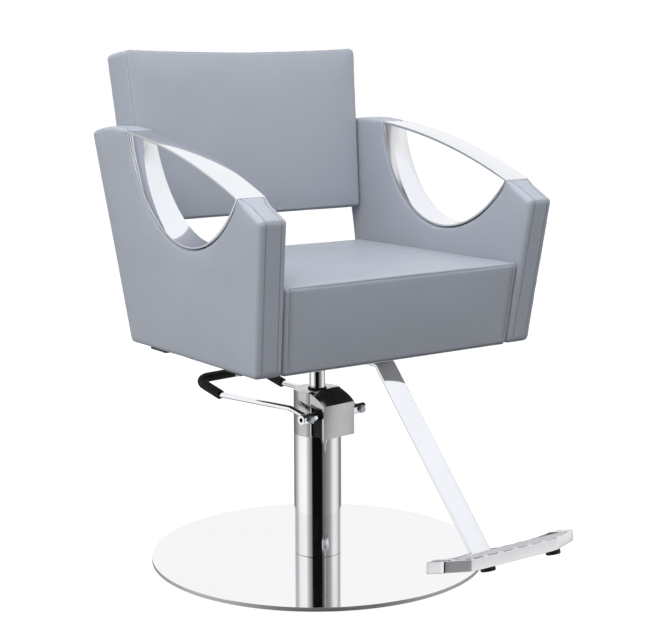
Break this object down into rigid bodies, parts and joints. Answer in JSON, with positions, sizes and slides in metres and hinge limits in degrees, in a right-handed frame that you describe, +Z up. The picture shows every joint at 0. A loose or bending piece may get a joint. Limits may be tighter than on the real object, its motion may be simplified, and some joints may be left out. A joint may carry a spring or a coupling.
{
  "type": "styling chair",
  "caption": "Hydraulic hair-styling chair: round mirror base, pump column with foot pedal, box-arm seat with chrome crescent armrests, backrest and T footrest.",
  "frame": {"origin": "centre of the base's underside, on the column's axis", "axes": "+Z up along the column, the seat facing -Y, +X to the sitter's left"},
  "size_m": [0.6052, 0.825, 0.9064],
  "materials": {
    "upholstery": "satin",
    "chrome": "polished",
    "mirror_steel": "polished",
    "cast_aluminium": "satin",
    "bright_steel": "satin",
    "dark_steel": "satin",
    "cast_iron": "matte",
    "rubber": "matte",
    "plywood": "matte",
    "lining_cloth": "matte"
  },
  "bodies": {
    "base": {"base_floor_pad": "rubber", "base_plate": "dark_steel", "base_cover": "mirror_steel", "base_bolt_1": "dark_steel", "base_bolt_2": "dark_steel", "base_bolt_3": "dark_steel", "base_bolt_4": "dark_steel", "pump_foot_flange": "cast_iron", "pump_reservoir_tube": "bright_steel", "pump_cylinder": "bright_steel", "column_sleeve": "chrome", "pump_head_casting": "cast_iron", "pump_cowl": "chrome", "ram_wiper": "rubber"},
    "lift": {"ram_piston": "bright_steel", "ram_piston_seal": "rubber"},
    "chair": {"ram": "chrome", "seat_mounting_plate": "dark_steel", "seat_hub": "dark_steel", "seat_cross_bar_front": "dark_steel", "seat_cross_bar_rear": "dark_steel", "seat_cushion": "upholstery", "seat_board": "plywood", "seat_underside_cloth": "lining_cloth", "back_cushion": "upholstery", "back_board": "plywood", "footrest_strut": "chrome", "footrest_tread": "cast_aluminium", "strut_bolt_front": "dark_steel", "strut_bolt_rear": "dark_steel", "footrest_bumper_left": "rubber", "footrest_bumper_right": "rubber", "plate_bolt_1": "dark_steel", "plate_bolt_2": "dark_steel", "plate_bolt_3": "dark_steel", "plate_bolt_4": "dark_steel", "arm_cover_left": "upholstery", "arm_core_left": "plywood", "arm_band_left": "chrome", "arm_bolt_left_front": "dark_steel", "arm_bolt_left_rear": "dark_steel", "back_stud_left_lower": "dark_steel", "back_stud_left_upper": "dark_steel", "arm_cover_right": "upholstery", "arm_core_right": "plywood", "arm_band_right": "chrome", "arm_bolt_right_front": "dark_steel", "arm_bolt_right_rear": "dark_steel", "back_stud_right_lower": "dark_steel", "back_stud_right_upper": "dark_steel"},
    "pedal": {"pedal_cross_shaft": "chrome", "pedal_rod": "chrome", "pedal_grip": "rubber", "pedal_clamp_bolt_left": "chrome", "pedal_clamp_bolt_right": "chrome", "pump_rocker": "bright_steel"},
    "plunger": {"pump_plunger": "bright_steel", "pump_plunger_spring": "bright_steel"}
  },
  "joints": [
    {"name": "seat_lift", "type": "slide", "parent": "base", "child": "lift", "axis": [0, 0, 1], "range_m": [0, 0.15]},
    {"name": "seat_swivel", "type": "hinge", "parent": "lift", "child": "chair", "pos_m": [0, 0, 0.35], "axis": [0, 0, 1], "continuous": true},
    {"name": "pedal_press", "type": "hinge", "parent": "base", "child": "pedal", "pos_m": [0.00494, -0.03969, 0.27], "axis": [0.9923, 0.1236, 0], "range_deg": [-22, 0], "stiffness_Nm_per_rad": 8, "springref_deg": 11.46},
    {"name": "plunger_stroke", "type": "slide", "parent": "base", "child": "plunger", "axis": [0, 0, 1], "range_m": [-0.0095, 0.0001], "deforming": ["pump_plunger_spring"]}
  ],
  "couplings": [
    {"joint": "plunger_stroke", "follows": "pedal_press", "m_per_rad": 0.024}
  ]
}
